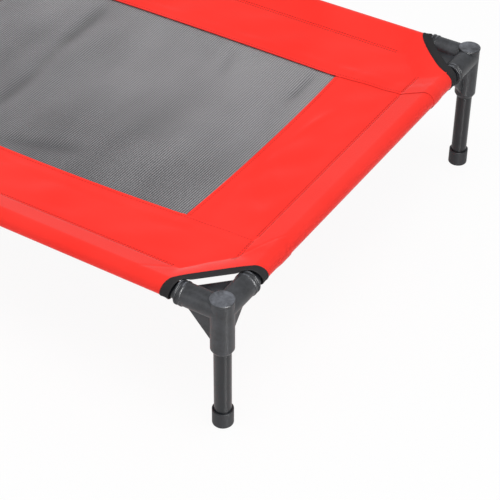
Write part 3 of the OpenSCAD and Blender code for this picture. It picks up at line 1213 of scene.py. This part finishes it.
@dataclass
class MeshWindow:
    """The grey ribbed mesh in the middle of the deck, with painted shade in its valleys that is darkest where a valley
    is full_valley deep.
    """

    form: DeckForm
    cloth: Material
    rib_pitch: float = 3.0 * MM
    rib_height: float = -0.25 * MM
    wave_height: float = 9.0 * MM
    thickness: float = 0.5 * MM
    samples_per_rib: int = 5
    rows: int = 56
    folds: Sequence[Fold] = MESH_FOLDS
    full_valley: float = 3 * MM

    def _crease(self, mesh: bpy.types.Mesh) -> None:
        """Lays the folds into the sheet and stores painted shade in its valleys for its material.

        Args:
            mesh: The sheet's mesh.
        """
        points = np.empty(3 * len(mesh.vertices))
        mesh.vertices.foreach_get("co", points)
        points = points.reshape(-1, 3)
        shade = np.zeros(len(points))
        for fold in self.folds:
            rise = fold.rise(points[:, :2])
            points[:, 2] += rise
            shade -= np.minimum(rise, 0.0) / self.full_valley
        mesh.vertices.foreach_set("co", points.ravel())
        mesh.attributes.new("valley", "FLOAT", "POINT").data.foreach_set("value", shade)

    def build(self) -> None:
        form = self.form
        length, width = map(float, 2 * (form.window + form.lap))
        values = {
            "Length": length,
            "Width": width,
            "Height": form.rail_z - form.drop - form.sink,
            "Sag": form.sag,
            "Sag Reach X": form.sewn[0],
            "Sag Reach Y": form.sewn[1],
            "Rib Pitch": self.rib_pitch,
            "Rib Height": self.rib_height,
            "Wave Height": self.wave_height,
            "Columns": round(length / self.rib_pitch * self.samples_per_rib) + 1,
            "Rows": self.rows,
            "Cloth": self.cloth,
        }
        piece = grown_mesh(mesh_object("mesh_panel_cloth", np.zeros((1, 3)), []), mesh_panel_tree(), values)
        self._crease(piece.data)
        thicken(piece, self.thickness)
        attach(piece, "root")
        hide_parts("mesh_panel")
        LOG.info("%s: %d faces", piece.name, len(piece.data.polygons))


@dataclass
class CornerBinding:
    """Black tape folded over the curved cut of the cloth at one corner.

    upper is half of the tape's profile from its sewn edge to the cut, in shares of the width and of the stand-off.
    turn is the fold over the cut, in shares of the fold and of the stand-off.
    """

    corner: Corner
    form: DeckForm
    sewing: Sewing
    tape: Material
    thread: Material
    width: float = 10.2 * MM
    fold: float = 1.2 * MM
    stand: float = 0.6 * MM
    thickness: float = 0.45 * MM
    step: float = 1.2 * MM
    stitch_inset: float = 8.6 * MM
    end_gap: float = 5 * MM
    upper: Sequence[Span] = ((1.0, 0.6), (0.92, 0.9), (0.6, 1.0), (0.3, 1.0), (0.05, 1.05))
    turn: Sequence[Span] = ((-0.5, 0.75), (-1.0, 0.0), (-0.5, -0.75))

    def _line(self, inset: float) -> Array:
        """The line at one distance in from the cut.

        Args:
            inset: The distance.

        Returns:
            Unrolled coordinates.
        """
        form, signs = self.form, np.array(self.corner.value)
        past = form.cut_line(self.step, form.front if signs[1] < 0 else form.back)
        past = past[past.max(axis=1) < form.wrap_length - form.hem - self.end_gap]
        run = np.gradient(past, axis=0)
        way = np.abs(run[:, ::-1]) / np.linalg.norm(run, axis=1, keepdims=True)
        return signs * (form.rails + past - way * inset)

    def build(self) -> None:
        upper = [(share * self.width, off * self.stand) for share, off in self.upper]
        turn = [(share * self.fold, off * self.stand) for share, off in self.turn]
        profile = [*upper, *turn, *((inset, -off) for inset, off in reversed(upper))]
        rings, uv, across = [], [], 0.0
        for (inset, off), last in zip(profile, [profile[0], *profile]):
            line = self._line(inset)
            run = np.arange(len(line)) * self.step
            across += math.dist((inset, off), last)
            rings.append(self.form.point(line) + self.form.normal(line) * off)
            uv.append(np.column_stack([run, np.full(len(run), across)]))
        quads = grid_quads(len(rings), len(run))
        if math.prod(self.corner.value) < 0:
            quads = quads[:, ::-1]
        name = f"corner_binding_{self.corner.word}"
        piece = mesh_object(name + "_tape", np.concatenate(rings), quads, np.concatenate(uv))
        piece.data.materials.append(self.tape)
        thicken(piece, self.thickness, 1.0)
        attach(piece, "root")
        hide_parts(name)
        row = Row(self._line(self.stitch_inset), np.full(len(run), self.stand + self.thickness))
        thread = self.sewing.build(name + "_thread", [row], self.thread, "binding_tape")
        f"long_border_{self.corner.word.split('_')[0]}"
        LOG.info("%s: %d faces", piece.name, len(quads))


@dataclass
class FrameParts:
    """The rigid solids, each dressed in its own finish by the start of its name."""

    finishes: dict[str, HardFinish]

    def dress(self) -> None:
        """Gives every rigid solid its material."""
        for prefix, finish in self.finishes.items():
            material = finish.material()
            for name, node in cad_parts.items():
                if name.startswith(prefix):
                    node.data.materials.clear()
                    node.data.materials.append(material)
                    LOG.info("%s: %s", name, finish.name)


@dataclass
class Studio:
    """Pale floor, soft lamps, white surroundings and the camera.

    floor_seen and floor_mirrored are the shares of pure white that the camera and reflections see in the floor.
    """

    azimuth: float = 31.85
    elevation: float = 39.22
    roll: float = 0.45
    focal_px: float = 1588.1
    picture_px: float = 500.0
    sensor: float = 36.0
    place: Triple = (1.04783, -1.33431, 1.26219)
    aim: Triple = (0.0, 0.0, 0.1)
    floor_reach: float = 6.0
    floor_grey: float = 0.86
    floor_roughness: float = 0.2
    floor_seen: float = 0.93
    floor_mirrored: float = 0.4
    even_light: float = 0.6

    def camera(self) -> None:
        """Sets up the camera at the picture's angle."""
        data = bpy.data.cameras.new("view")
        data.sensor_width = self.sensor
        data.lens = self.focal_px / self.picture_px * self.sensor
        data.clip_end = 50.0
        turn, rise, roll = (math.radians(angle) for angle in (self.azimuth, self.elevation, self.roll))
        back = Vector((math.sin(turn) * math.cos(rise), -math.cos(turn) * math.cos(rise), math.sin(rise)))
        level = Vector((0, 0, 1)).cross(back).normalized()
        upright = back.cross(level)
        right = level * math.cos(roll) + upright * math.sin(roll)
        up = upright * math.cos(roll) - level * math.sin(roll)
        camera = scene_object("view", data)
        camera.matrix_world = Matrix.Translation(self.place) @ Matrix((right, up, back)).transposed().to_4x4()
        bpy.context.scene.camera = camera

    def floor(self) -> None:
        """Lays the pale floor, which keeps a soft shadow and stays white to the camera."""
        corners = [(x * self.floor_reach, y * self.floor_reach, 0.0) for x, y in ((-1, -1), (1, -1), (1, 1), (-1, 1))]
        floor = mesh_object("floor", np.array(corners), [(0, 1, 2, 3)])
        surface = Surface("pale_floor")
        graph = surface.graph
        path = graph.add("ShaderNodeLightPath").outputs
        seen = graph.math("MULTIPLY", path["Is Camera Ray"], self.floor_seen)
        mirrored = graph.math("MULTIPLY", path["Is Glossy Ray"], self.floor_mirrored)
        white = graph.add("ShaderNodeEmission").outputs[0]
        share = graph.math("MAXIMUM", seen, mirrored)
        blend = graph.add("ShaderNodeMixShader", {0: share, 1: surface.shader.outputs[0], 2: white}).outputs[0]
        graph.fill(graph.tree.nodes["Material Output"], {"Surface": blend})
        grey = (self.floor_grey, self.floor_grey, self.floor_grey, 1.0)
        floor.data.materials.append(
            surface.dress(Base_Color=grey, Roughness=self.floor_roughness, Specular_IOR_Level=0.5)
        )

    def surroundings(self) -> None:
        """Fills the scene with even light, and shows white to the camera."""
        world = bpy.data.worlds.new("studio")
        bpy.context.scene.world = world
        world.use_nodes = True
        graph = Graph(world.node_tree)
        seen = graph.add("ShaderNodeLightPath").outputs["Is Camera Ray"]
        level = graph.math("MULTIPLY_ADD", seen, 1.0 - self.even_light, self.even_light)
        graph.fill(world.node_tree.nodes["Background"], {"Color": (1.0, 1.0, 1.0, 1.0), "Strength": level})

    def lamp(self, name: str, place: Vector, size: Span, power: float, catch: bool = False) -> None:
        """Hangs one soft lamp aimed at the cot.

        Args:
            name: Name of the lamp.
            place: Where it hangs.
            size: Width and height of the lamp.
            power: Power in watts.
            catch: True for a catch light, which shows in reflections only.
        """
        data = bpy.data.lights.new(name, "AREA")
        data.shape = "RECTANGLE"
        data.size, data.size_y = size
        data.energy = power
        lamp = scene_object(name, data)
        lamp.location = place
        lamp.visible_camera = False
        lamp.visible_diffuse = not catch
        lamp.rotation_euler = (Vector(self.aim) - place).to_track_quat("-Z", "Y").to_euler()

    def build(self) -> None:
        """Sets up the camera, floor and light."""
        self.camera()
        self.floor()
        self.surroundings()
        self.lamp("key", Vector((0.6, -0.35, 2.35)), (1.4, 1.4), 26.5)
        self.lamp("fill", Vector((-0.9, -2.2, 1.0)), (1.4, 1.4), 8.5)
        self.lamp("catch", Vector((1.03, -0.52, 0.52)), (0.3, 0.75), 26.0, catch=True)
        bpy.context.scene.view_settings.view_transform = "Standard"


def main() -> None:
    """Builds the cot's cloth, sewing and finishes, and the studio round it."""
    logging.basicConfig(level=logging.INFO, format="%(name)s: %(message)s")
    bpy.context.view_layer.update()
    Studio().build()
    steels = dict.fromkeys(("leg_tube", "long_rail", "short_rail"), STEEL)
    FrameParts({"corner_fitting": PLASTIC, **steels, "foot_cap": RUBBER}).dress()
    form = DeckForm.from_frame(folds=STRIP_FOLDS)
    sewing = Sewing(form)
    reds = [finish.material() for finish in (RED_CLOTH, RED_EDGE_SHADE, RED_THREAD_SHADED, HEM_THREAD)]
    for side in Side:
        BorderStrip(side, form, sewing, *reds).build()
    MeshWindow(form, GREY_MESH.material()).build()
    tape, black_thread = BLACK_TAPE.material(), BLACK_THREAD.material()
    for corner in Corner:
        CornerBinding(corner, form, sewing, tape, black_thread).build()


if __name__ == "__main__":
    main()
